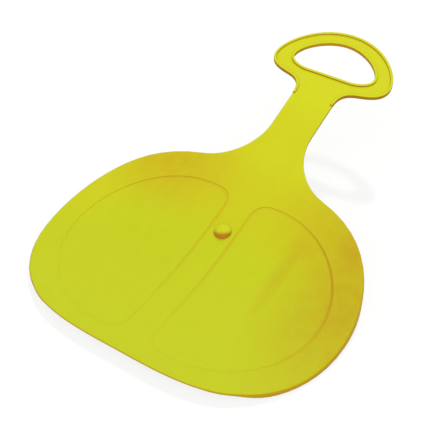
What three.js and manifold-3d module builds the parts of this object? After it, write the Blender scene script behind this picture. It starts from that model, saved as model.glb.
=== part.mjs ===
// A hand-held snow slider: a plate to sit on, a neck and a D-shaped grip in one moulding, and the round
// plug in its spine. Lengths are millimetres and angles are degrees. +Y runs from the rear edge to the
// grip, +X to the rider's right and +Z up. The origin is on the ground, under the middle of the slider.

import * as THREE from 'three';
import { mergeVertices } from 'three/addons/utils/BufferGeometryUtils.js';
import Module from 'manifold-3d';

const wasm = await Module();
wasm.setup();

// The moulding's wall, and the gap that two pieces keep where they meet
const SHEET = 3;
const SEAT_CLEARANCE = 0.3;

// Plate, seen from above: places along Y are taken from its widest line
const PLATE_WIDTH = 400;
const REAR_REACH = 144;
const SHOULDER_HALF_WIDTH = 88;
const SHOULDER_REACH = 154;
const SHOULDER_ANGLE = 15;
const REAR_CORNER_HALF_WIDTH = 139;
const REAR_CORNER_REACH = 121;
const REAR_CORNER_ANGLE = 37;

// Neck and grip, seen from above: their lengths are taken back from the grip's end
const GRIP_REACH = 399.5;
const GRIP_LENGTH = 122.5;
const GRIP_WIDTH = 172;
const GRIP_WIDEST_LENGTH = 63.5;
const GRIP_ROOT_HALF_WIDTH = 52;
const GRIP_ROOT_LENGTH = 89.5;
const GRIP_ROOT_ANGLE = 12;
const GRIP_SIDE_BAND = 27;
const GRIP_TOP_BAND = 19.5;
const HOLE_LENGTH = 53.5;
const HOLE_BASE_HALF_WIDTH = 32;
const HOLE_WIDEST_LENGTH = 39;
const NECK_WIDTH = 58.6;
const NECK_LENGTH = 48;

// How far each arc of the outline leans along its end directions, as a share of the run that it spans
const rearArcShares = [0.26, 0.31];
const cornerArcShares = [0.04, 0.66];
const sideArcShares = [0.25, 0.51];
const shoulderArcShares = [0.41, 0.3];
const rootArcShares = [0.43, 0.55];
const gripCornerShares = [0.36, 0.43];
const gripTopShares = [0.2, 0.49];
const holeCornerShares = [0.32, 0.31];
const holeTopShares = [0.22, 0.42];
const ARC_STEPS = 14;

// Side view: a flat belly, one long arc up to the straight neck, and a rear edge that kicks up
const BELLY_FRONT = -49;
const BELLY_REAR = -75;
const BELLY_WIDTH = 120;
const ROCKER_RADIUS = 515;
const NECK_ANGLE = 17.4;
const KICK_RADIUS = 262;
const KICK_SIDE_LEAD = 16;
const DISH_HEIGHT = 3.3;

// Seats: a groove draws a D either side of the spine. It is deepest at the front and runs out at the rear.
const SEAT_RADIUS = 121.2;
const SEAT_BORDER = 30.8;
const SEAT_CORNER_RADIUS = 21.2;
const SPINE_WIDTH = 33.6;
const GROOVE_WIDTH = 2.4;
const GROOVE_DEPTH = 0.6;
const GROOVE_REAR_DEPTH = 0.15;

// A soft crease runs along each seat
const CREASE_OFFSET = 93;
const CREASE_DEPTH = 1.8;
const CREASE_INNER_WIDTH = 24;
const CREASE_OUTER_WIDTH = 8;
const CREASE_REAR = -60;
const CREASE_FRONT = 96;
const CREASE_END_LENGTH = 24;

// Side skirts: the plate's edges turn down and run level with the belly
const SKIRT_WALL = 4;
const SKIRT_REAR = -95;
const SKIRT_FRONT = 80;
const SKIRT_REAR_RADIUS = 60;
const SKIRT_FRONT_RADIUS = 65;
const SKIRT_ROOT = 0.3;

// Raised lips round the grip's rim and round its hole
const LIP_WIDTH = 3.5;
const LIP_HEIGHT = 1.6;
const LIP_LENGTH = 116.5;

// Plug in the spine
const PLUG_REACH = 66;
const PLUG_HEAD_WIDTH = 22;
const PLUG_HEAD_HEIGHT = 6.2;
const PLUG_RIM_HEIGHT = 0.8;
const PLUG_SHANK_WIDTH = 12;
const PLUG_BARB_WIDTH = 13.6;
const PLUG_BARB_HEIGHT = 2.4;
const PLUG_BARB_LAND = 0.8;
const PLUG_SIDES = 40;
const DOME_STEPS = 8;

// The curved surfaces are made of facets about this long
const FACET_ACROSS = 20;
const FACET_ALONG = 10;

// One overrun serves every tool that cuts right through
const OVERRUN = 12;
const WELD = 1e-5;
const MEETING = 1e-3;

const HALF_WIDTH = PLATE_WIDTH / 2;
const DISH_START = BELLY_WIDTH / 2;
const MIDDLE = (GRIP_REACH - REAR_REACH) / 2;
const NECK_END = GRIP_REACH - GRIP_LENGTH;
const NECK_START = NECK_END - NECK_LENGTH;
const GRIP_ROOT_REACH = GRIP_REACH - GRIP_ROOT_LENGTH;
const GRIP_WIDEST = GRIP_REACH - GRIP_WIDEST_LENGTH;
const HOLE_HALF_WIDTH = GRIP_WIDTH / 2 - GRIP_SIDE_BAND;
const HOLE_REACH = GRIP_REACH - GRIP_TOP_BAND;
const HOLE_BASE = HOLE_REACH - HOLE_LENGTH;
const HOLE_WIDEST = HOLE_REACH - HOLE_WIDEST_LENGTH;
const LIP_START = GRIP_REACH - LIP_LENGTH;
const radians = THREE.MathUtils.degToRad;
const NECK_RISE = radians(NECK_ANGLE);
const ROCKER_END = BELLY_FRONT + ROCKER_RADIUS * Math.sin(NECK_RISE);
const ROCKER_END_HEIGHT = ROCKER_RADIUS * (1 - Math.cos(NECK_RISE));

// Height of the spine's centre line above the belly
function rockerHeight(y) {
  if (y <= BELLY_FRONT) return 0;
  if (y >= ROCKER_END) return ROCKER_END_HEIGHT + (y - ROCKER_END) * Math.tan(NECK_RISE);
  const run = y - BELLY_FRONT;
  return ROCKER_RADIUS - Math.sqrt(ROCKER_RADIUS ** 2 - run ** 2);
}

// The rear edge lifts along a line that leads further forward at the sides
function kickHeight(x, y) {
  const line = BELLY_REAR + KICK_SIDE_LEAD * (x / HALF_WIDTH) ** 2;
  return y >= line ? 0 : (line - y) ** 2 / (2 * KICK_RADIUS);
}

function dishHeight(x) {
  const run = Math.max(0, Math.abs(x) - DISH_START);
  return DISH_HEIGHT * (run / (HALF_WIDTH - DISH_START)) ** 2;
}

// A crease sinks slowly on the spine's side and comes back quickly on the other. It deepens from the
// rear to its front end, where it stops short.
function creaseDepth(x, y) {
  const away = Math.abs(x) - CREASE_OFFSET;
  const width = away < 0 ? CREASE_INNER_WIDTH : CREASE_OUTER_WIDTH;
  const across = Math.max(0, 1 - Math.abs(away) / width);
  const growth = (y - CREASE_REAR) / (CREASE_FRONT - CREASE_REAR);
  const end = (CREASE_FRONT - y) / CREASE_END_LENGTH;
  return CREASE_DEPTH * across * Math.max(0, Math.min(growth, end));
}

function undersideHeight(x, y) {
  return rockerHeight(y) + kickHeight(x, y) + dishHeight(x) - creaseDepth(x, y);
}

const topHeight = (x, y) => undersideHeight(x, y) + SHEET;

// The skirts' lower edge: on the ground along the belly, and curving up to the sheet at both ends
function skirtHeight(x, y) {
  const past = Math.max(0, y - SKIRT_FRONT);
  const short = Math.max(0, SKIRT_REAR - y);
  const level = past ** 2 / (2 * SKIRT_FRONT_RADIUS) + short ** 2 / (2 * SKIRT_REAR_RADIUS);
  return Math.min(level, undersideHeight(x, y) + SKIRT_ROOT);
}

// Solids

function solidOf(geometry) {
  geometry.deleteAttribute('normal');
  geometry.deleteAttribute('uv');
  const merged = mergeVertices(geometry, WELD);
  return new wasm.Manifold(new wasm.Mesh({
    numProp: 3,
    vertProperties: new Float32Array(merged.attributes.position.array),
    triVerts: new Uint32Array(merged.index.array),
  }));
}

function meshOf(name, solid, material) {
  const mesh = solid.getMesh();
  const geometry = new THREE.BufferGeometry();
  geometry.setAttribute('position', new THREE.BufferAttribute(mesh.vertProperties, 3));
  geometry.setIndex(new THREE.BufferAttribute(mesh.triVerts, 1));
  geometry.computeVertexNormals();
  const piece = new THREE.Mesh(geometry, material);
  piece.name = name;
  return piece;
}

// Evenly spaced places between each two of the stops, which are put in order first
function places(stops, spacing) {
  const ordered = [...new Set(stops)].sort((a, b) => a - b);
  const all = [ordered[0]];
  for (let i = 1; i < ordered.length; i += 1) {
    const run = ordered[i] - ordered[i - 1];
    const steps = Math.max(1, Math.round(run / spacing));
    for (let k = 1; k <= steps; k += 1) all.push(ordered[i - 1] + run * k / steps);
  }
  return all;
}

const SIDE_STOPS = [
  DISH_START, CREASE_OFFSET - CREASE_INNER_WIDTH, CREASE_OFFSET, CREASE_OFFSET + CREASE_OUTER_WIDTH,
  HALF_WIDTH, HALF_WIDTH + OVERRUN,
];
const ACROSS = places([...SIDE_STOPS, ...SIDE_STOPS.map((x) => -x)], FACET_ACROSS);
const ALONG = places([
  -REAR_REACH - OVERRUN, BELLY_REAR, BELLY_FRONT, CREASE_FRONT - CREASE_END_LENGTH, CREASE_FRONT,
  ROCKER_END, SHOULDER_REACH,
], FACET_ALONG).concat(GRIP_REACH + OVERRUN);

// A sheet over the whole slider, between two surfaces given as heights
function slab(lower, upper) {
  const box = new THREE.BoxGeometry(1, 1, 1, ACROSS.length - 1, ALONG.length - 1, 1);
  const at = box.attributes.position;
  for (let i = 0; i < at.count; i += 1) {
    const x = ACROSS[Math.round((at.getX(i) + 0.5) * (ACROSS.length - 1))];
    const y = ALONG[Math.round((at.getY(i) + 0.5) * (ALONG.length - 1))];
    at.setXYZ(i, x, y, at.getZ(i) > 0 ? upper(x, y) : lower(x, y));
  }
  return solidOf(box);
}

const CEILING = topHeight(0, GRIP_REACH) + OVERRUN;

// An upright prism of a plan outline, taller than the slider
function prism(shape) {
  const depth = CEILING + 2 * OVERRUN;
  const geometry = new THREE.ExtrudeGeometry(shape, { depth, bevelEnabled: false, curveSegments: ARC_STEPS });
  geometry.translate(0, 0, -OVERRUN);
  return solidOf(geometry);
}

// Everything from one place along Y to another
function stretch(from, to) {
  const box = new THREE.BoxGeometry(PLATE_WIDTH + 2 * OVERRUN, to - from, CEILING + 2 * OVERRUN);
  box.translate(0, (from + to) / 2, CEILING / 2);
  return solidOf(box);
}

// Plan outlines

const point = (x, y) => new THREE.Vector2(x, y);
const heading = (angle) => point(Math.cos(radians(angle)), Math.sin(radians(angle)));

// One smooth arc that leaves its start and reaches its end in the given directions
function arc(start, startAngle, end, endAngle, [startShare, endShare]) {
  const run = start.distanceTo(end);
  const leave = start.clone().addScaledVector(heading(startAngle), startShare * run);
  const reach = end.clone().addScaledVector(heading(endAngle), -endShare * run);
  return new THREE.CubicBezierCurve(start, leave, reach, end);
}

function mirrored(points) {
  const other = points.map((p) => point(-p.x, p.y)).reverse();
  return [...points, ...other.slice(1, -1)];
}

function joined(curves) {
  const points = [];
  curves.forEach((curve, i) => {
    const steps = curve instanceof THREE.LineCurve ? 1 : ARC_STEPS;
    points.push(...curve.getPoints(steps).slice(i === 0 ? 0 : 1));
  });
  return points;
}

function sliderOutline() {
  const rear = point(0, -REAR_REACH);
  const corner = point(REAR_CORNER_HALF_WIDTH, -REAR_CORNER_REACH);
  const side = point(HALF_WIDTH, 0);
  const shoulder = point(SHOULDER_HALF_WIDTH, SHOULDER_REACH);
  const neck = point(NECK_WIDTH / 2, NECK_START);
  const neckEnd = point(NECK_WIDTH / 2, NECK_END);
  const root = point(GRIP_ROOT_HALF_WIDTH, GRIP_ROOT_REACH);
  const gripSide = point(GRIP_WIDTH / 2, GRIP_WIDEST);
  const top = point(0, GRIP_REACH);
  return mirrored(joined([
    arc(rear, 0, corner, REAR_CORNER_ANGLE, rearArcShares),
    arc(corner, REAR_CORNER_ANGLE, side, 90, cornerArcShares),
    arc(side, 90, shoulder, 180 - SHOULDER_ANGLE, sideArcShares),
    arc(shoulder, 180 - SHOULDER_ANGLE, neck, 90, shoulderArcShares),
    new THREE.LineCurve(neck, neckEnd),
    arc(neckEnd, 90, root, GRIP_ROOT_ANGLE, rootArcShares),
    arc(root, GRIP_ROOT_ANGLE, gripSide, 90, gripCornerShares),
    arc(gripSide, 90, top, 180, gripTopShares),
  ]));
}

function holeOutline() {
  const base = point(HOLE_BASE_HALF_WIDTH, HOLE_BASE);
  const side = point(HOLE_HALF_WIDTH, HOLE_WIDEST);
  const top = point(0, HOLE_REACH);
  return mirrored(joined([
    new THREE.LineCurve(point(0, HOLE_BASE), base),
    arc(base, 0, side, 90, holeCornerShares),
    arc(side, 90, top, 180, holeTopShares),
  ]));
}

// The outline moved outwards, or inwards where the distance is negative
function offset(points, distance) {
  return points.map((p, i) => {
    const before = points[(i + points.length - 1) % points.length];
    const after = points[(i + 1) % points.length];
    const along = after.clone().sub(before).normalize();
    return point(p.x + along.y * distance, p.y - along.x * distance);
  });
}

// A D: a round outer side, and a straight inner side along the spine with rounded corners
function seatOutline(side) {
  const inner = SPINE_WIDTH / 2;
  const middle = HALF_WIDTH - SEAT_BORDER - SEAT_RADIUS;
  const cornerX = inner + SEAT_CORNER_RADIUS;
  const cornerY = Math.sqrt((SEAT_RADIUS - SEAT_CORNER_RADIUS) ** 2 - (cornerX - middle) ** 2);
  const turn = Math.atan2(cornerY, cornerX - middle);
  const path = new THREE.Path();
  path.absarc(middle, 0, SEAT_RADIUS, -turn, turn, false);
  path.absarc(cornerX, cornerY, SEAT_CORNER_RADIUS, turn, Math.PI, false);
  path.absarc(cornerX, -cornerY, SEAT_CORNER_RADIUS, Math.PI, 2 * Math.PI - turn, false);
  const points = path.getPoints(2 * ARC_STEPS).filter((p, i, all) => p.distanceTo(all.at(i - 1)) > MEETING);
  return side > 0 ? points : points.map((p) => point(-p.x, p.y)).reverse();
}

// The band inside an outline, of the groove's width
function grooveBand(points) {
  const outer = prism(new THREE.Shape(points));
  return outer.subtract(prism(new THREE.Shape(offset(points, -GROOVE_WIDTH))));
}

function grooveDepth(y) {
  const share = (y + SEAT_RADIUS) / (2 * SEAT_RADIUS);
  return GROOVE_REAR_DEPTH + (GROOVE_DEPTH - GROOVE_REAR_DEPTH) * Math.max(0, Math.min(share, 1));
}

// Pan: plate, neck and grip

const outline = sliderOutline();
const hole = holeOutline();

// The tilt and place of the plug's axis, square to the spine
const PLUG_TILT = Math.asin((PLUG_REACH - BELLY_FRONT) / ROCKER_RADIUS);
const PLUG_SEAT = new THREE.Vector3(0, PLUG_REACH, topHeight(0, PLUG_REACH));

function makePan() {
  const whole = prism(new THREE.Shape(outline));
  const opening = prism(new THREE.Shape(hole));
  const sheet = slab(undersideHeight, topHeight).intersect(whole);

  const inside = prism(new THREE.Shape(offset(outline, -SKIRT_WALL)));
  const skirtRun = stretch(-REAR_CORNER_REACH - OVERRUN, SHOULDER_REACH);
  const skirtBlock = slab(skirtHeight, (x, y) => topHeight(x, y) - SHEET / 2);
  const skirts = skirtBlock.intersect(whole.subtract(inside)).intersect(skirtRun);

  const lipBlock = slab((x, y) => topHeight(x, y) - SHEET / 2, (x, y) => topHeight(x, y) + LIP_HEIGHT);
  const rimInside = prism(new THREE.Shape(offset(outline, -LIP_WIDTH)));
  const rim = whole.subtract(rimInside).intersect(stretch(LIP_START, GRIP_REACH + OVERRUN));
  const collar = prism(new THREE.Shape(offset(hole, LIP_WIDTH)));
  const lips = lipBlock.intersect(rim.add(collar));

  const aboveGroove = slab((x, y) => topHeight(x, y) - grooveDepth(y), (x, y) => topHeight(x, y) + OVERRUN);
  const grooves = grooveBand(seatOutline(1)).add(grooveBand(seatOutline(-1)));

  const radius = PLUG_SHANK_WIDTH / 2 + SEAT_CLEARANCE;
  const bore = new THREE.CylinderGeometry(radius, radius, 2 * OVERRUN, PLUG_SIDES);
  bore.rotateX(Math.PI / 2 + PLUG_TILT);
  bore.translate(...PLUG_SEAT.toArray());

  return sheet.add(skirts).add(lips)
    .subtract(opening)
    .subtract(aboveGroove.intersect(grooves))
    .subtract(solidOf(bore));
}

// Plug: a domed head over the spine, and a shank through it that a barb holds from below
function makePlug() {
  const shank = PLUG_SHANK_WIDTH / 2;
  const barb = PLUG_BARB_WIDTH / 2;
  const head = PLUG_HEAD_WIDTH / 2;
  const catchHeight = -SHEET - SEAT_CLEARANCE;
  const profile = [
    point(0, catchHeight - PLUG_BARB_HEIGHT),
    point(shank, catchHeight - PLUG_BARB_HEIGHT),
    point(barb, catchHeight - PLUG_BARB_LAND),
    point(barb, catchHeight),
    point(shank, catchHeight),
    point(shank, SEAT_CLEARANCE),
    point(head, SEAT_CLEARANCE),
  ];
  const dome = PLUG_HEAD_HEIGHT - PLUG_RIM_HEIGHT;
  const turn = 2 * Math.atan(dome / head);
  const radius = head / Math.sin(turn);
  for (let i = 0; i <= DOME_STEPS; i += 1) {
    const left = turn * (1 - i / DOME_STEPS);
    profile.push(point(radius * Math.sin(left), PLUG_HEAD_HEIGHT - radius * (1 - Math.cos(left))));
  }
  const turned = new THREE.LatheGeometry(profile, PLUG_SIDES);
  turned.rotateX(Math.PI / 2 + PLUG_TILT);
  turned.translate(...PLUG_SEAT.toArray());
  return solidOf(turned);
}

const panPlastic = new THREE.MeshStandardMaterial({ color: 0xcad029, roughness: 0.42, metalness: 0 });
const plugPlastic = new THREE.MeshStandardMaterial({ color: 0xcdd62c, roughness: 0.38, metalness: 0 });

const group = new THREE.Group();
group.name = 'snow_slider';
group.add(meshOf('pan', makePan(), panPlastic));
group.add(meshOf('centre_plug', makePlug(), plugPlastic));
group.position.y = -MIDDLE;

export default group;
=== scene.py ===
"""A moulded snow slider lying on a pale floor: the pan in one piece, and the domed plug in its spine.

Sizes are in millimetres and angles in degrees, as on a drawing, and MM turns a length to metres.
Places along Y are taken from the plate's widest line, and are moved to the frame's origin last.
"""

from math import asin, atan2, cos, degrees, hypot, pi, radians, sin, sqrt, tan

import bpy
import numpy as np
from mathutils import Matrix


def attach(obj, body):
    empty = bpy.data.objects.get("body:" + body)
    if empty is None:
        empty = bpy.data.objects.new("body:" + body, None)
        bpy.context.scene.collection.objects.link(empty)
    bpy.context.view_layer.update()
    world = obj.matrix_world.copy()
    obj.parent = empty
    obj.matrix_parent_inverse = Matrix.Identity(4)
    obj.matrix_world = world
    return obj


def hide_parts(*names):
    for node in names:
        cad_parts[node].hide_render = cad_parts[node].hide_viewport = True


MM = 0.001

# Plan of the plate, the neck and the grip
SHEET = 3
PLATE_WIDTH = 400
REAR_REACH = 144
SHOULDER_HALF_WIDTH, SHOULDER_REACH, SHOULDER_ANGLE = 88, 154, 15
CORNER_HALF_WIDTH, CORNER_REACH, CORNER_ANGLE = 139, 121, 37
NECK_WIDTH, NECK_START, NECK_END = 58.6, 229, 277
ROOT_HALF_WIDTH, ROOT_REACH, ROOT_ANGLE = 52, 310, 12
GRIP_WIDTH, GRIP_WIDEST, GRIP_REACH = 172, 336, 399.5
GRIP_SIDE_BAND, GRIP_TOP_BAND = 27, 19.5
HOLE_BASE, HOLE_BASE_HALF_WIDTH, HOLE_WIDEST = 326.5, 32, 341
ARC_STEPS = 14

# How far each arc leans along its end directions, as a share of the run that it spans
REAR_SHARES = (0.26, 0.31)
CORNER_SHARES = (0.04, 0.66)
SIDE_SHARES = (0.25, 0.51)
SHOULDER_SHARES = (0.41, 0.3)
ROOT_SHARES = (0.43, 0.55)
GRIP_CORNER_SHARES = (0.36, 0.43)
GRIP_TOP_SHARES = (0.2, 0.49)
HOLE_CORNER_SHARES = (0.32, 0.31)
HOLE_TOP_SHARES = (0.22, 0.42)
STRAIGHT_SHARES = (1 / 3, 1 / 3)

# Side view
BELLY_FRONT, BELLY_REAR, BELLY_WIDTH = -49, -75, 120
ROCKER_RADIUS, NECK_ANGLE = 515, 17.4
KICK_RADIUS, KICK_SIDE_LEAD = 262, 16
DISH_HEIGHT = 3.3

# Seats, each outlined by a groove that runs out at the rear, and a soft crease along each
SEAT_RADIUS, SEAT_BORDER, SEAT_CORNER_RADIUS = 121.2, 30.8, 21.2
SPINE_WIDTH = 33.6
GROOVE_WIDTH, GROOVE_DEPTH, GROOVE_REAR_DEPTH = 2.4, 0.6, 0.15
CREASE_OFFSET, CREASE_DEPTH = 93, 1.8
CREASE_INNER_WIDTH, CREASE_OUTER_WIDTH = 24, 8
CREASE_REAR, CREASE_FRONT, CREASE_END_LENGTH = -60, 96, 24

# Skirts, lips and the roundings of the pan's edges
SKIRT_WALL = 4
SKIRT_REAR, SKIRT_FRONT = -95, 80
SKIRT_REAR_RADIUS, SKIRT_FRONT_RADIUS = 60, 65
SKIRT_ROOT = 0.1
LIP_WIDTH, LIP_HEIGHT, LIP_START = 3.5, 1.6, 283
SIDE_ROUND, REAR_ROUND, EDGE_ROUND = 3.4, 1.8, 0.8
LIP_ROUND, LIP_FOOT_ROUND, GROOVE_ROUND = 0.6, 0.5, 0.28

# Plug in the spine
PLUG_REACH = 66
PLUG_HEAD_WIDTH, PLUG_HEAD_HEIGHT, PLUG_RIM_HEIGHT = 22, 6.2, 0.8
PLUG_SHANK_WIDTH, PLUG_BARB_WIDTH, PLUG_BARB_HEIGHT, PLUG_BARB_LAND = 12, 13.6, 2.4, 0.8
PLUG_CLEARANCE = 0.3
PLUG_SIDES, DOME_STEPS = 64, 12

# Facets of the bent sheet, which are finer along each crease and a little way past it
FACET_ACROSS, FACET_ALONG = 10, 6
CREASE_FACET, CREASE_FACETS_PAST = 2, 12
ROUND_STEPS = 4

# How far a cutting tool overruns the sheet, and the skirts' depth while the sheet is flat
OVERRUN = 12

# Corners nearer than WELD are merged. A face is on a side of the flat sheet, and an edge is level, to
# within LEVEL_WITHIN. A face points up or down where at least this share of its normal does: FACING.
WELD, LEVEL_WITHIN = 0.01, 0.1
FACING = 0.9

# Faces that meet at less than the flat angle are merged. Edges past the sharp angle are rounded, and
# those past the smooth angle stay sharp in the shading.
FLAT_ANGLE, SHARP_ANGLE, SMOOTH_ANGLE = 0.5, 30, 35

# A place off every line of symmetry, from which no two corners are equally far
SORTING_PLACE = (713, 1297, 391)

# Places and lengths that follow from the sizes above. An edge of the flat sheet's top that is within
# SEAT_ZONE of a seat's middle belongs to that seat's groove or to the bore.
HALF_WIDTH = PLATE_WIDTH / 2
DISH_START = BELLY_WIDTH / 2
MIDDLE = (GRIP_REACH - REAR_REACH) / 2
HOLE_HALF_WIDTH = GRIP_WIDTH / 2 - GRIP_SIDE_BAND
HOLE_REACH = GRIP_REACH - GRIP_TOP_BAND
SEAT_MIDDLE = HALF_WIDTH - SEAT_BORDER - SEAT_RADIUS
SEAT_ZONE = SEAT_RADIUS + SEAT_BORDER / 4
NECK_RISE = radians(NECK_ANGLE)
ROCKER_END = BELLY_FRONT + ROCKER_RADIUS * sin(NECK_RISE)

# How much a face points up that leans 58 degrees and is painted fully orange as shade, and one that leans 19
# and is left plain
STEEP, LEVEL = cos(radians(58)), cos(radians(19))

# The way that the plug's lit side faces, and how much a face points that way that is painted fully orange as
# shade, and one left plain
PLUG_LIT_WAY = (-0.22, 0.25, 1)
PLUG_STEEP, PLUG_LEVEL = 0.4, 0.75

# Colours of level faces and of walls, whose orange is painted shade, at the pan's rear and all over the
# plug. The plug's level colour is lighter than the pan's: painted light on its lit top.
PAN_COLOUR, PAN_SHADED_WALL_COLOUR = "#C7CF1C", "#C29A18"
PLUG_LIT_COLOUR, PLUG_SHADED_SIDE_COLOUR = "#D2D520", "#BC7C1E"

# How the pan's colour and its walls' change on the way to the grip, as painted light and shade: the pan
# warmer by the shoulders and lighter towards the grip, its walls' painted shade darker there: start, end and
# colour
LIGHT_AND_SHADE_ALONG_PAN = [(20, 140, "#D1CD1C"), (130, 190, "#D3D41C"), (230, 290, "#D8DA1E")]
WALL_SHADE_ALONG_PAN = [(130, 310, "#AA7C18"), (335, 365, "#BC8F1A")]

# The pan's warm patches of painted shade on the shoulders and along the right crease, and a pale one of
# painted light on its left side: centre, reach, strength and colour
SHADE_AND_LIGHT_PATCHES = [
    ((190, 50), (125, 215), 0.85, "#C6AB1A"),
    ((115, 125), (95, 95), 0.45, "#CAAE1A"),
    ((-118, 134), (122, 98), 0.75, "#CFB31A"),
    ((-185, 45), (70, 75), 0.5, "#D8D01C"),
    ((153, 114), (30, 42), 0.38, "#C0901E"),
    ((91, 35), (14, 80), 0.3, "#C8A01A"),
    ((96, 82), (22, 28), 0.18, "#C8A01A"),
]

# The seats' grooves have a faint orange line of painted shade that is darkest by the shaded shoulder: its
# half width, and the centre, reach, strength and colour of the patch in which it shows
GROOVE_SHADE_LINES = [
    (4.5, (0, 60), (75, 150), 0.22, "#D8981C"),
    (4.5, (-110, 110), (110, 70), 0.14, "#D8981C"),
    (4, (160, 0), (110, 130), 0.18, "#C3881A"),
    (2, (142, 68), (100, 105), 0.75, "#C3881A"),
]

# How softly the painted shade along the seats' grooves turns their corners
LINE_CORNER = 35

# The plastic's patterns: the sizes of its mottling, flow streaks and grain. The steel's own grain is about
# 0.1 mm, too fine to show, so it is drawn coarser.
MOTTLE_SIZE, STREAK_WIDTH, GRAIN_SIZE = 14, 11, 1.5
STREAK_STRETCH = 4
GRAIN_DEPTH, GRAIN_STRENGTH = 0.4, 0.06

# What the mottling multiplies a patch by, and what the streaks give the colour's value and the roughness
MOTTLE_LOW, MOTTLE_HIGH = 0.75, 1.25
STREAK_DARK, STREAK_PALE = 0.985, 1.015
ROUGHNESS_LOW, ROUGHNESS_HIGH = 0.5, 0.58

# The plastic's index of refraction, and its gloss, which is waxy and weaker than that index gives
POLYETHYLENE_IOR, WAXY_GLOSS = 1.51, 0.08

# Settings that several nodes share. Most of a noise lies in its middle values.
EASED = {"interpolation_type": "SMOOTHSTEP"}
COLOURS = {"data_type": "RGBA"}
PRODUCT = {"operation": "MULTIPLY"}
MIDDLE_VALUES = {"From Min": 0.3, "From Max": 0.7}

# Floor: its size and how far it lies below the slider, its paint, and the glow that the camera sees in it
FLOOR_SIZE, FLOOR_DROP = 12000, 0.5
FLOOR_PAINT, WHITE = "#DADADA", "#FFFFFF"
FLOOR_GLOW, FLOOR_GLOW_SHARE = 1.045, 0.78

# Light: the room's strength, the ways to the light behind the slider and to the broad one in front, and
# each lamp's share of full light and its width as an angle
ROOM_STRENGTH = 0.57
BACK_LIGHT = (-0.36, 1.02, 1)
FRONT_LIGHT = (0.4, -0.9, 1)
BACK_SHARE, BACK_ANGLE = 0.18, 3
FRONT_SHARE, FRONT_ANGLE = 0.25, 100
FLOOR_SHARE, FLOOR_ANGLE = 0.25, 5

# Camera: its place in the drawing's millimetres, where it looks, and its lens and sensor
CAMERA_PLACE = (396.8, -564.5, 731.4)
CAMERA_AZIMUTH, CAMERA_ELEVATION = 33.136, 42.955
CAMERA_LENS, CAMERA_SENSOR = 72.06, 36


# Selecting and editing

def activate(piece):
    bpy.ops.object.select_all(action="DESELECT")
    piece.select_set(True)
    bpy.context.view_layer.objects.active = piece


def choose_faces(piece, test):
    """Opens the piece in edit mode with only those faces selected that pass a test."""
    activate(piece)
    bpy.context.tool_settings.mesh_select_mode = (False, False, True)
    mesh = piece.data
    for part in (*mesh.vertices, *mesh.edges):
        part.select = False
    for face in mesh.polygons:
        face.select = test(face)
    bpy.ops.object.mode_set(mode="EDIT")


def choose_all(piece):
    activate(piece)
    bpy.ops.object.mode_set(mode="EDIT")
    bpy.ops.mesh.select_all(action="SELECT")


def leave_edit():
    bpy.ops.object.mode_set(mode="OBJECT")


def apply_modifier(piece, kind, **settings):
    activate(piece)
    modifier = piece.modifiers.new(kind.title(), kind)
    for name, value in settings.items():
        setattr(modifier, name, value)
    bpy.ops.object.modifier_apply(modifier=modifier.name)


def cut_away(piece, tool):
    """Cuts a tool out of a piece, and sorts what is left, because its order differs each run."""
    apply_modifier(piece, "BOOLEAN", operation="DIFFERENCE", solver="EXACT", object=tool)
    bpy.data.objects.remove(tool)
    bpy.context.scene.cursor.location = [place * MM for place in SORTING_PLACE]
    choose_all(piece)
    bpy.ops.mesh.sort_elements(type="CURSOR_DISTANCE", elements={"VERT", "EDGE", "FACE"})
    bpy.context.scene.cursor.location = (0, 0, 0)
    leave_edit()


# Outlines: each knot is a place and the direction in which the line passes it

def mirrored(knots, shares):
    """A closed outline from its right half, whose first and last knots lie on the middle line."""
    others = [(-x, y, -angle) for x, y, angle in reversed(knots)]
    ends_meet = [k for k in others if k[0] != 0]
    return knots + ends_meet, shares + [pair[::-1] for pair in reversed(shares)]


def drawn(name, outlines):
    """A curve object of closed Bezier outlines, turned to a mesh of edges."""
    bpy.ops.object.select_all(action="DESELECT")
    bpy.ops.curve.primitive_bezier_curve_add(location=(0, 0, 0))
    piece = bpy.context.object
    piece.name = name
    piece.data.resolution_u = ARC_STEPS
    piece.data.splines.clear()
    for knots, shares in outlines:
        spline = piece.data.splines.new("BEZIER")
        spline.bezier_points.add(len(knots) - 1)
        spline.use_cyclic_u = True
        spline.resolution_u = ARC_STEPS
        for i, (x, y, angle) in enumerate(knots):
            point = spline.bezier_points[i]
            before, after = knots[i - 1], knots[(i + 1) % len(knots)]
            back = shares[i - 1][1] * hypot(x - before[0], y - before[1])
            ahead = shares[i][0] * hypot(after[0] - x, after[1] - y)
            dx, dy = cos(radians(angle)), sin(radians(angle))
            point.handle_left_type = point.handle_right_type = "FREE"
            point.co = (x * MM, y * MM, 0)
            point.handle_left = ((x - back * dx) * MM, (y - back * dy) * MM, 0)
            point.handle_right = ((x + ahead * dx) * MM, (y + ahead * dy) * MM, 0)
    bpy.ops.object.convert(target="MESH")
    return bpy.context.object


def slider_outline():
    knots = [
        (0, -REAR_REACH, 0),
        (CORNER_HALF_WIDTH, -CORNER_REACH, CORNER_ANGLE),
        (HALF_WIDTH, 0, 90),
        (SHOULDER_HALF_WIDTH, SHOULDER_REACH, 180 - SHOULDER_ANGLE),
        (NECK_WIDTH / 2, NECK_START, 90),
        (NECK_WIDTH / 2, NECK_END, 90),
        (ROOT_HALF_WIDTH, ROOT_REACH, ROOT_ANGLE),
        (GRIP_WIDTH / 2, GRIP_WIDEST, 90),
        (0, GRIP_REACH, 180),
    ]
    shares = [
        REAR_SHARES, CORNER_SHARES, SIDE_SHARES, SHOULDER_SHARES, STRAIGHT_SHARES,
        ROOT_SHARES, GRIP_CORNER_SHARES, GRIP_TOP_SHARES,
    ]
    return mirrored(knots, shares)


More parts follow.
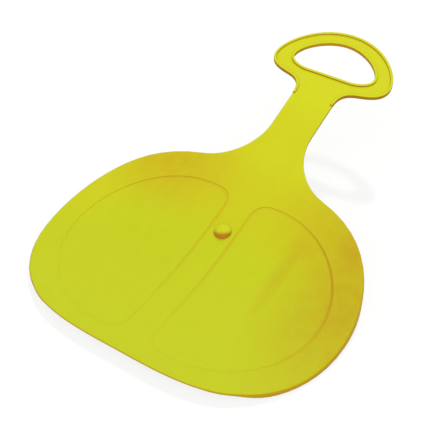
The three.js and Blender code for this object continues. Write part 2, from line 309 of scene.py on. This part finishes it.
def hole_outline():
    knots = [
        (0, HOLE_BASE, 0),
        (HOLE_BASE_HALF_WIDTH, HOLE_BASE, 0),
        (HOLE_HALF_WIDTH, HOLE_WIDEST, 90),
        (0, HOLE_REACH, 180),
    ]
    return mirrored(knots, [STRAIGHT_SHARES, HOLE_CORNER_SHARES, HOLE_TOP_SHARES])


def round_share(angle):
    """The share that makes an arc of that many degrees a circle's."""
    turn = radians(angle)
    return 2 / 3 * tan(turn / 4) / sin(turn / 2)


def seat_outline(side, inset):
    """A D: a round outer side, and a straight inner side along the spine with rounded corners."""
    inner = SPINE_WIDTH / 2
    corner_x = inner + SEAT_CORNER_RADIUS
    corner_y = sqrt((SEAT_RADIUS - SEAT_CORNER_RADIUS) ** 2 - (corner_x - SEAT_MIDDLE) ** 2)
    turn = degrees(atan2(corner_y, corner_x - SEAT_MIDDLE))
    meet_x = corner_x + (SEAT_CORNER_RADIUS - inset) * cos(radians(turn))
    meet_y = corner_y + (SEAT_CORNER_RADIUS - inset) * sin(radians(turn))
    outer, corner = (round_share(turn),) * 2, (round_share(180 - turn),) * 2
    knots = [
        (meet_x, -meet_y, 90 - turn),
        (SEAT_MIDDLE + SEAT_RADIUS - inset, 0, 90),
        (meet_x, meet_y, 90 + turn),
        (inner + inset, corner_y, 270),
        (inner + inset, -corner_y, 270),
    ]
    if side < 0:
        knots = [(-x, y, 180 - angle) for x, y, angle in knots]
    return knots, [outer, outer, corner, STRAIGHT_SHARES, corner]


# Heights of the bent sheet, as arrays over x and y

def rocker_height(y):
    run = np.clip(y - BELLY_FRONT, 0, ROCKER_END - BELLY_FRONT)
    bend = ROCKER_RADIUS - np.sqrt(ROCKER_RADIUS ** 2 - run ** 2)
    return bend + np.maximum(y - ROCKER_END, 0) * tan(NECK_RISE)


def kick_height(x, y):
    line = BELLY_REAR + KICK_SIDE_LEAD * (x / HALF_WIDTH) ** 2
    return np.maximum(line - y, 0) ** 2 / (2 * KICK_RADIUS)


def dish_height(x):
    run = np.maximum(np.abs(x) - DISH_START, 0)
    return DISH_HEIGHT * (run / (HALF_WIDTH - DISH_START)) ** 2


def eased(share):
    share = np.clip(share, 0, 1)
    return share * share * (3 - 2 * share)


def crease_depth(x, y):
    away = np.abs(x) - CREASE_OFFSET
    width = np.where(away < 0, CREASE_INNER_WIDTH, CREASE_OUTER_WIDTH)
    growth = eased((y - CREASE_REAR) / (CREASE_FRONT - CREASE_REAR))
    end = eased((CREASE_FRONT - y) / CREASE_END_LENGTH)
    return CREASE_DEPTH * eased(1 - np.abs(away) / width) * np.minimum(growth, end)


def groove_share(y):
    """How deep the seats' groove is at a place along Y, as a share of its full depth."""
    front = np.clip((y + SEAT_RADIUS) / (2 * SEAT_RADIUS), 0, 1)
    return (GROOVE_REAR_DEPTH + (GROOVE_DEPTH - GROOVE_REAR_DEPTH) * front) / GROOVE_DEPTH


def underside_height(x, y):
    return rocker_height(y) + kick_height(x, y) + dish_height(x) - crease_depth(x, y)


def skirt_height(x, y):
    past = np.maximum(y - SKIRT_FRONT, 0)
    short = np.maximum(SKIRT_REAR - y, 0)
    level = past ** 2 / (2 * SKIRT_FRONT_RADIUS) + short ** 2 / (2 * SKIRT_REAR_RADIUS)
    return np.minimum(level, underside_height(x, y) - SKIRT_ROOT)


def corners_of(piece):
    places = np.empty(len(piece.data.vertices) * 3)
    piece.data.vertices.foreach_get("co", places)
    return places.reshape(-1, 3) / MM


def place_corners(piece, places):
    piece.data.vertices.foreach_set("co", (places * MM).ravel())
    piece.data.update()


# Pan and plug

def prism(name, outlines, low, high):
    """A closed prism of what lies between the outlines, from one height to another."""
    piece = drawn(name, outlines)
    choose_all(piece)
    bpy.ops.mesh.remove_doubles(threshold=WELD * MM)
    bpy.ops.mesh.fill(use_beauty=True)
    bpy.ops.transform.translate(value=(0, 0, low * MM))
    bpy.ops.mesh.extrude_region_move(TRANSFORM_OT_translate={"value": (0, 0, (high - low) * MM)})
    leave_edit()
    choose_all(piece)
    bpy.ops.mesh.normals_make_consistent(inside=False)
    leave_edit()
    return piece


def raise_ring(piece, facing, width, height, first, last):
    """Insets one side of the sheet and extrudes the ring between two places along Y."""
    level = SHEET * MM if facing > 0 else 0

    def on_side(face):
        return face.normal.z * facing > FACING and abs(face.center.z - level) < LEVEL_WITHIN * MM

    choose_faces(piece, on_side)
    bpy.ops.mesh.inset(thickness=width * MM, use_boundary=True, use_even_offset=True)
    leave_edit()
    inner = {face.index for face in piece.data.polygons if face.select}
    ring = {
        face.index for face in piece.data.polygons
        if on_side(face) and face.index not in inner and first * MM < face.center.y < last * MM
    }
    choose_faces(piece, lambda face: face.index in ring)
    bpy.ops.mesh.extrude_region_move(TRANSFORM_OT_translate={"value": (0, 0, facing * height * MM)})
    leave_edit()


def sharp_edges(piece):
    choose_all(piece)
    bpy.ops.mesh.select_all(action="DESELECT")
    bpy.context.tool_settings.mesh_select_mode = (False, True, False)
    bpy.ops.mesh.edges_select_sharp(sharpness=radians(SHARP_ANGLE))
    leave_edit()
    return [edge for edge in piece.data.edges if edge.select]


def rounding(x, y, z):
    """How far the flat pan's edge at a place is rounded."""
    if z > SHEET + LIP_HEIGHT / 2:
        return LIP_ROUND
    if hypot(abs(x) - SEAT_MIDDLE, y) < SEAT_ZONE:
        return GROOVE_ROUND
    if z > SHEET / 2 and y > LIP_START:
        return LIP_FOOT_ROUND
    if z < SHEET / 2 or y > NECK_START:
        return EDGE_ROUND
    front = np.clip((SHOULDER_REACH - y) / (SHOULDER_REACH - SKIRT_FRONT), 0, 1)
    rear = np.clip((y + REAR_REACH) / (REAR_REACH + SKIRT_REAR), 0, 1)
    to_shoulder = EDGE_ROUND + (SIDE_ROUND - EDGE_ROUND) * front
    to_rear = REAR_ROUND + (SIDE_ROUND - REAR_ROUND) * rear
    return float(min(to_shoulder, to_rear))


def round_edges(piece):
    """Rounds the level edges, each to its own size, with one weighted bevel."""
    edges = sharp_edges(piece)
    places = corners_of(piece)
    weights = np.zeros(len(piece.data.edges))
    for edge in edges:
        first, second = (places[i] for i in edge.vertices)
        if abs(first[2] - second[2]) < LEVEL_WITHIN:
            weights[edge.index] = rounding(*((first + second) / 2)) / SIDE_ROUND
    piece.data.attributes.new("bevel_weight_edge", "FLOAT", "EDGE").data.foreach_set("value", weights)
    apply_modifier(
        piece, "BEVEL", limit_method="WEIGHT", width=SIDE_ROUND * MM,
        segments=ROUND_STEPS, use_clamp_overlap=False,
    )


def facet(piece):
    """Cuts the flat pan along straight lines, so that it can bend."""
    crease = CREASE_OFFSET - CREASE_INNER_WIDTH
    across = list(np.arange(0, HALF_WIDTH, FACET_ACROSS))
    across += list(np.arange(crease, CREASE_OFFSET + CREASE_FACETS_PAST, CREASE_FACET))
    along = list(np.arange(FACET_ALONG - REAR_REACH, SHOULDER_REACH + OVERRUN, FACET_ALONG))
    along += [CREASE_FRONT - CREASE_END_LENGTH, CREASE_FRONT - CREASE_END_LENGTH / 2, CREASE_FRONT]
    both_sides = sorted({side * x for x in across for side in (1, -1)})
    choose_all(piece)
    for way, cuts in (((1, 0, 0), both_sides), ((0, 1, 0), along)):
        for cut in cuts:
            bpy.ops.mesh.select_all(action="SELECT")
            bpy.ops.mesh.bisect(plane_co=[part * cut * MM for part in way], plane_no=way)
    bpy.ops.mesh.select_all(action="SELECT")
    bpy.ops.mesh.remove_doubles(threshold=WELD * MM)
    leave_edit()


def bend(piece):
    """Moves the flat pan's corners to the bent sheet's heights, and the skirts' and grooves' to theirs."""
    places = corners_of(piece)
    x, y, z = places.T.copy()
    grooved = (np.hypot(np.abs(x) - SEAT_MIDDLE, y) < SEAT_ZONE) & (z > SHEET / 2)
    z = np.where(grooved, SHEET - (SHEET - z) * groove_share(y), z)
    under = underside_height(x, y)
    drop = np.clip(-z / OVERRUN, 0, 1)
    places[:, 2] = np.where(z >= 0, under + z, under + (skirt_height(x, y) - under) * drop)
    place_corners(piece, places)


def smooth(piece):
    activate(piece)
    bpy.ops.object.shade_smooth_by_angle(angle=radians(SMOOTH_ANGLE))
    apply_modifier(piece, "WEIGHTED_NORMAL", keep_sharp=True)


def move_to_frame(piece):
    """Moves a piece from the drawing's widest line to the frame's origin."""
    places = corners_of(piece)
    places[:, 1] -= MIDDLE
    place_corners(piece, places)


def seat_plug(piece):
    """Tips a piece that was made upright at the origin square to the spine, and sets it in its place."""
    tilt = asin((PLUG_REACH - BELLY_FRONT) / ROCKER_RADIUS)
    places = corners_of(piece)
    x, y, z = places.T.copy()
    places[:, 1] = PLUG_REACH + y * cos(tilt) - z * sin(tilt)
    places[:, 2] = SHEET + float(rocker_height(PLUG_REACH)) + y * sin(tilt) + z * cos(tilt)
    place_corners(piece, places)


def bore_tool():
    """The plug's bore as a tool in the flat sheet's heights, so that the bend leaves it straight."""
    radius = PLUG_SHANK_WIDTH / 2 + PLUG_CLEARANCE
    bpy.ops.mesh.primitive_cylinder_add(vertices=PLUG_SIDES, radius=radius * MM, depth=2 * OVERRUN * MM)
    bore = bpy.context.object
    seat_plug(bore)
    places = corners_of(bore)
    places[:, 2] -= underside_height(places[:, 0], places[:, 1])
    place_corners(bore, places)
    return bore


def make_pan():
    """The moulding: a flat sheet with its rings and grooves, cut and rounded while it is flat, then bent."""
    pan = prism("pan_surface", [slider_outline(), hole_outline()], 0, SHEET)
    raise_ring(pan, -1, SKIRT_WALL, OVERRUN, -CORNER_REACH - OVERRUN, SHOULDER_REACH)
    raise_ring(pan, 1, LIP_WIDTH, LIP_HEIGHT, LIP_START, GRIP_REACH)
    for side in (1, -1):
        band = [seat_outline(side, 0), seat_outline(side, GROOVE_WIDTH)]
        cut_away(pan, prism("tool", band, SHEET - GROOVE_DEPTH, SHEET + OVERRUN))
    cut_away(pan, bore_tool())
    choose_all(pan)
    bpy.ops.mesh.dissolve_limited(angle_limit=radians(FLAT_ANGLE))
    leave_edit()
    round_edges(pan)
    facet(pan)
    bend(pan)
    move_to_frame(pan)
    smooth(pan)
    return pan


def grow(rise, ratio):
    """Extrudes the chosen face up or down and widens or narrows it."""
    bpy.ops.mesh.extrude_region_move(TRANSFORM_OT_translate={"value": (0, 0, rise * MM)})
    bpy.ops.transform.resize(value=(ratio, ratio, 1))


def make_plug():
    """A domed head over the spine, and a shank through it that a barb holds from below."""
    head, shank, barb = PLUG_HEAD_WIDTH / 2, PLUG_SHANK_WIDTH / 2, PLUG_BARB_WIDTH / 2
    rim = PLUG_RIM_HEIGHT - PLUG_CLEARANCE
    bpy.ops.mesh.primitive_cylinder_add(vertices=PLUG_SIDES, radius=head * MM, depth=rim * MM)
    plug = bpy.context.object
    plug.name = "centre_plug_surface"
    choose_faces(plug, lambda face: face.normal.z > FACING)
    turn = 2 * atan2(PLUG_HEAD_HEIGHT - PLUG_RIM_HEIGHT, head)
    radius = head / sin(turn)
    left = [turn * (1 - i / DOME_STEPS) for i in range(DOME_STEPS)]
    for low, high in zip(left, left[1:]):
        grow(radius * (cos(high) - cos(low)), sin(high) / sin(low))
    leave_edit()
    choose_faces(plug, lambda face: face.normal.z < -FACING)
    bpy.ops.mesh.inset(thickness=(head - shank) * MM)
    grow(-SHEET - 2 * PLUG_CLEARANCE, 1)
    grow(0, barb / shank)
    grow(-PLUG_BARB_LAND, 1)
    grow(PLUG_BARB_LAND - PLUG_BARB_HEIGHT, shank / barb)
    leave_edit()
    places = corners_of(plug)
    places[:, 2] += PLUG_CLEARANCE + rim / 2
    place_corners(plug, places)
    seat_plug(plug)
    move_to_frame(plug)
    smooth(plug)
    return plug


# Materials

def linear(code):
    """An sRGB hex colour as linear red, green, blue and alpha."""
    parts = [int(code[i:i + 2], 16) / 255 for i in (1, 3, 5)]
    return tuple(c / 12.92 if c <= 0.04045 else ((c + 0.055) / 1.055) ** 2.4 for c in parts) + (1,)


def add(tree, kind, settings=None, inputs=None):
    """Adds a node. An input is a value, a socket of another node, or a node that gives its first result."""
    node = tree.nodes.new("ShaderNode" + kind)
    for name, value in (settings or {}).items():
        setattr(node, name, value)
    for key, value in (inputs or {}).items():
        if isinstance(value, bpy.types.Node):
            value = next(output for output in value.outputs if output.enabled)
        if isinstance(value, bpy.types.NodeSocket):
            tree.links.new(value, node.inputs[key])
        else:
            node.inputs[key].default_value = value
    return node


def new_material(name):
    material = bpy.data.materials.new(name)
    material.use_nodes = True
    material.node_tree.nodes.clear()
    return material, material.node_tree


def painted_shading_patch(tree, place, centre, reach):
    """A soft patch for painted shade and light: 1 at its centre, in the drawing's millimetres, and 0 at its
    reach.
    """
    x, y = centre
    across, along = reach
    moved = add(tree, "Mapping", {"vector_type": "TEXTURE"}, {
        "Vector": place, "Location": (x * MM, (y - MIDDLE) * MM, 0), "Scale": (across * MM, along * MM, 1),
    })
    ball = add(tree, "TexGradient", {"gradient_type": "SPHERICAL"}, {"Vector": moved})
    return add(tree, "MapRange", EASED, {"Value": ball.outputs["Fac"]})


def painted_groove_shade(tree, place, half_width):
    """A soft line of painted shade along both seats' grooves, 1 along its middle.

    The left half is folded onto the right. There the seat ends at a circle and at a line along the spine,
    and the smooth maximum of how far a place is past each of them rounds the corners where they meet.
    """
    groove_radius = (SEAT_RADIUS - GROOVE_WIDTH / 2) * MM
    groove_side = (SPINE_WIDTH + GROOVE_WIDTH) / 2 * MM
    moved = add(tree, "Mapping", inputs={
        "Vector": place, "Location": (0, MIDDLE * MM, 0), "Scale": (1, 1, 0),
    })
    folded = add(tree, "VectorMath", {"operation": "ABSOLUTE"}, {0: moved})
    across = add(tree, "SeparateXYZ", inputs={"Vector": folded})
    away = add(tree, "VectorMath", {"operation": "DISTANCE"}, {0: folded, 1: (SEAT_MIDDLE * MM, 0, 0)})
    past = add(tree, "Math", {"operation": "SUBTRACT"}, {0: away, 1: groove_radius})
    short = add(tree, "Math", {"operation": "SUBTRACT"}, {0: groove_side, 1: across})
    off = add(tree, "Math", {"operation": "SMOOTH_MAX"}, {0: past, 1: short, 2: LINE_CORNER * MM})
    off = add(tree, "Math", {"operation": "ABSOLUTE"}, {0: off})
    return add(tree, "MapRange", EASED, {"Value": off, "From Min": half_width * MM, "From Max": 0})


def blend_along(tree, along, first, changes):
    """A colour that changes along Y, from one place in the drawing's millimetres to another each time."""
    colour = linear(first)
    for start, end, code in changes:
        share = add(tree, "MapRange", EASED, {
            "Value": along, "From Min": (start - MIDDLE) * MM, "From Max": (end - MIDDLE) * MM,
        })
        colour = add(tree, "Mix", COLOURS, {"Factor": share, "A": colour, "B": linear(code)})
    return colour


def moulded_polyethylene(name, first, changes, patches, lines, walls, lit_way, shade_range):
    """Injection-moulded polyethylene, dyed right through and left as the mould's fine satin steel made it.

    What leans away from the light is painted orange as shade, and the shoulders and the right crease
    have warm, slightly mottled patches of painted shade, the left side one of painted light. The gloss
    is waxy and wide. The melt's flow leaves faint streaks along the neck, and the steel a fine grain that
    is drawn coarser than it is, so that it shows.

    The colour starts as the first one, and its changes along Y paint light and shade along the pan. The
    patches and the lines tint it with painted shade and light. What points away from the lit way given has
    the walls' colours instead, as painted shade, from one end of the range given to the other.
    """
    material, tree = new_material(name)
    place = add(tree, "TexCoord").outputs["Object"]
    along = add(tree, "SeparateXYZ", inputs={"Vector": place}).outputs["Y"]
    colour = blend_along(tree, along, first, changes)

    clouds = add(tree, "TexNoise", inputs={
        "Vector": place, "Scale": 1 / (MOTTLE_SIZE * MM), "Detail": 4, "Roughness": 0.6,
    })
    mottle = add(tree, "MapRange", inputs={
        "Value": clouds, "To Min": MOTTLE_LOW, "To Max": MOTTLE_HIGH, **MIDDLE_VALUES,
    })
    for centre, reach, strength, code in patches:
        share = add(tree, "Math", PRODUCT, {0: painted_shading_patch(tree, place, centre, reach), 1: strength})
        share = add(tree, "Math", PRODUCT, {0: share, 1: mottle})
        colour = add(tree, "Mix", COLOURS, {"Factor": share, "A": colour, "B": linear(code)})
    for half_width, centre, reach, strength, code in lines:
        share = add(tree, "Math", PRODUCT, {0: painted_groove_shade(tree, place, half_width), 1: strength})
        share = add(tree, "Math", PRODUCT, {0: share, 1: painted_shading_patch(tree, place, centre, reach)})
        colour = add(tree, "Mix", COLOURS, {"Factor": share, "A": colour, "B": linear(code)})

    normal = add(tree, "NewGeometry").outputs["Normal"]
    facing = add(tree, "VectorMath", {"operation": "DOT_PRODUCT"}, {0: normal, 1: lit_way})
    facing = add(tree, "MapRange", EASED, {
        "Value": facing, "From Min": shade_range[0], "From Max": shade_range[1],
    })
    upwards = add(tree, "SeparateXYZ", inputs={"Vector": normal}).outputs["Z"]
    under = add(tree, "MapRange", EASED, {"Value": upwards, "From Min": -STEEP, "From Max": -LEVEL})
    plain = add(tree, "Math", {"operation": "MAXIMUM"}, {0: facing, 1: under})
    wall = blend_along(tree, along, *walls)
    colour = add(tree, "Mix", COLOURS, {"Factor": plain, "A": wall, "B": colour})

    stretched = add(tree, "Mapping", inputs={"Vector": place, "Scale": (1, 1 / STREAK_STRETCH, 1)})
    streaks = add(tree, "TexNoise", inputs={
        "Vector": stretched, "Scale": 1 / (STREAK_WIDTH * MM), "Detail": 3, "Roughness": 0.6,
    })
    grain = add(tree, "TexNoise", inputs={
        "Vector": place, "Scale": 1 / (GRAIN_SIZE * MM), "Detail": 2, "Roughness": 0.5,
    })
    value = add(tree, "MapRange", inputs={
        "Value": streaks, "To Min": STREAK_DARK, "To Max": STREAK_PALE, **MIDDLE_VALUES,
    })
    rough = add(tree, "MapRange", inputs={
        "Value": streaks, "To Min": ROUGHNESS_LOW, "To Max": ROUGHNESS_HIGH, **MIDDLE_VALUES,
    })
    shader = add(tree, "BsdfPrincipled", inputs={
        "Base Color": add(tree, "HueSaturation", inputs={"Color": colour, "Value": value}),
        "Roughness": rough,
        "Normal": add(tree, "Bump", inputs={
            "Strength": GRAIN_STRENGTH, "Distance": GRAIN_DEPTH * MM, "Height": grain,
        }),
        "IOR": POLYETHYLENE_IOR,
        "Specular IOR Level": WAXY_GLOSS,
    })
    add(tree, "OutputMaterial", inputs={"Surface": shader})
    return material


def seen(tree):
    """1 where the camera, or a mirror or glass, looks at the surroundings, and 0 where they give light."""
    path = add(tree, "LightPath").outputs
    share = add(tree, "Math", {"operation": "MAXIMUM"}, {0: path["Is Camera Ray"], 1: path["Is Glossy Ray"]})
    return add(tree, "Math", {"operation": "MAXIMUM"}, {0: share, 1: path["Is Transmission Ray"]})


def photo_floor():
    """A seamless white floor of matt paint. It is seen almost blown out, so only a pale shadow is left."""
    material, tree = new_material("white_floor")
    paint = add(tree, "BsdfDiffuse", inputs={"Color": linear(FLOOR_PAINT)})
    glow = add(tree, "Emission", inputs={"Color": linear(WHITE), "Strength": FLOOR_GLOW})
    share = add(tree, "Math", PRODUCT, {0: seen(tree), 1: FLOOR_GLOW_SHARE})
    add(tree, "OutputMaterial", inputs={
        "Surface": add(tree, "MixShader", inputs={0: share, 1: paint, 2: glow}),
    })
    return material


# Light, floor and camera

def make_floor():
    bpy.ops.mesh.primitive_plane_add(size=FLOOR_SIZE * MM, location=(0, 0, -FLOOR_DROP * MM))
    floor = bpy.context.object
    floor.name = "floor"
    floor.data.materials.append(photo_floor())
    return floor


def make_sun(name, way, share, angle, only=None):
    """A distant light from the way given, that brings a share of full light to a level surface.

    Where one piece is named, the light falls on that piece alone, and the others cast their shadows on it.
    """
    across, along, up = way
    bpy.ops.object.light_add(type="SUN")
    sun = bpy.context.object
    sun.name = name
    sun.data.energy = share * pi * sqrt(across ** 2 + along ** 2 + up ** 2) / up
    sun.data.angle = radians(angle)
    sun.rotation_euler = (atan2(hypot(across, along), up), 0, atan2(along, across) + pi / 2)
    if only:
        sun.light_linking.receiver_collection = bpy.data.collections.new(name)
        sun.light_linking.receiver_collection.objects.link(only)


def make_light(floor):
    """A small hard light behind, a broad one beside the camera, and a pale room for the rest.

    One more light falls on the floor alone, where the shadow that it draws is small and plain.
    """
    world = bpy.data.worlds.new("pale_room")
    bpy.context.scene.world = world
    world.use_nodes = True
    tree = world.node_tree
    tree.nodes.clear()
    room = add(tree, "Background", inputs={"Color": linear(WHITE), "Strength": ROOM_STRENGTH})
    white = add(tree, "Background", inputs={"Color": linear(WHITE), "Strength": 1})
    add(tree, "OutputWorld", inputs={
        "Surface": add(tree, "MixShader", inputs={0: seen(tree), 1: room, 2: white}),
    })
    make_sun("back_light", BACK_LIGHT, BACK_SHARE, BACK_ANGLE)
    make_sun("front_light", FRONT_LIGHT, FRONT_SHARE, FRONT_ANGLE)
    make_sun("floor_light", BACK_LIGHT, FLOOR_SHARE, FLOOR_ANGLE, floor)


def make_camera():
    data = bpy.data.cameras.new("camera")
    data.sensor_fit = "HORIZONTAL"
    data.sensor_width = CAMERA_SENSOR
    data.lens = CAMERA_LENS
    camera = bpy.data.objects.new("camera", data)
    bpy.context.scene.collection.objects.link(camera)
    x, y, z = CAMERA_PLACE
    camera.location = (x * MM, (y - MIDDLE) * MM, z * MM)
    camera.rotation_euler = (radians(90 - CAMERA_ELEVATION), 0, radians(CAMERA_AZIMUTH))
    bpy.context.scene.camera = camera


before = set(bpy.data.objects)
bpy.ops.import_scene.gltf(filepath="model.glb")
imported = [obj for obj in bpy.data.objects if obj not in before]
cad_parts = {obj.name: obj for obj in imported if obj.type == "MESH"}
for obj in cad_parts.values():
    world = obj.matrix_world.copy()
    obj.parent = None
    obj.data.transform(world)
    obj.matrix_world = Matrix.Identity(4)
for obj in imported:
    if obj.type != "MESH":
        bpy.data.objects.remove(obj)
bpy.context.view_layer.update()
bpy.context.scene.view_settings.view_transform = "Standard"

pan = make_pan()
pan.data.materials.clear()
# The pan's own colour, with painted light and shade along it, in patches, along its grooves and on its walls
pan.data.materials.append(moulded_polyethylene(
    "moulded_polyethylene", PAN_COLOUR, LIGHT_AND_SHADE_ALONG_PAN, SHADE_AND_LIGHT_PATCHES, GROOVE_SHADE_LINES,
    (PAN_SHADED_WALL_COLOUR, WALL_SHADE_ALONG_PAN), (0, 0, 1), (STEEP, LEVEL),
))
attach(pan, "root")
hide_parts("pan")

plug = make_plug()
plug.data.materials.clear()
# The plug's own colour, painted lighter on its lit top, and orange as painted shade where it turns from the
# light
plug.data.materials.append(moulded_polyethylene(
    "moulded_polyethylene_plug", PLUG_LIT_COLOUR, [], [], [],
    (PLUG_SHADED_SIDE_COLOUR, []), [part / hypot(*PLUG_LIT_WAY) for part in PLUG_LIT_WAY], (PLUG_STEEP, PLUG_LEVEL),
))
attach(plug, "root")
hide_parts("centre_plug")

make_light(make_floor())
make_camera()
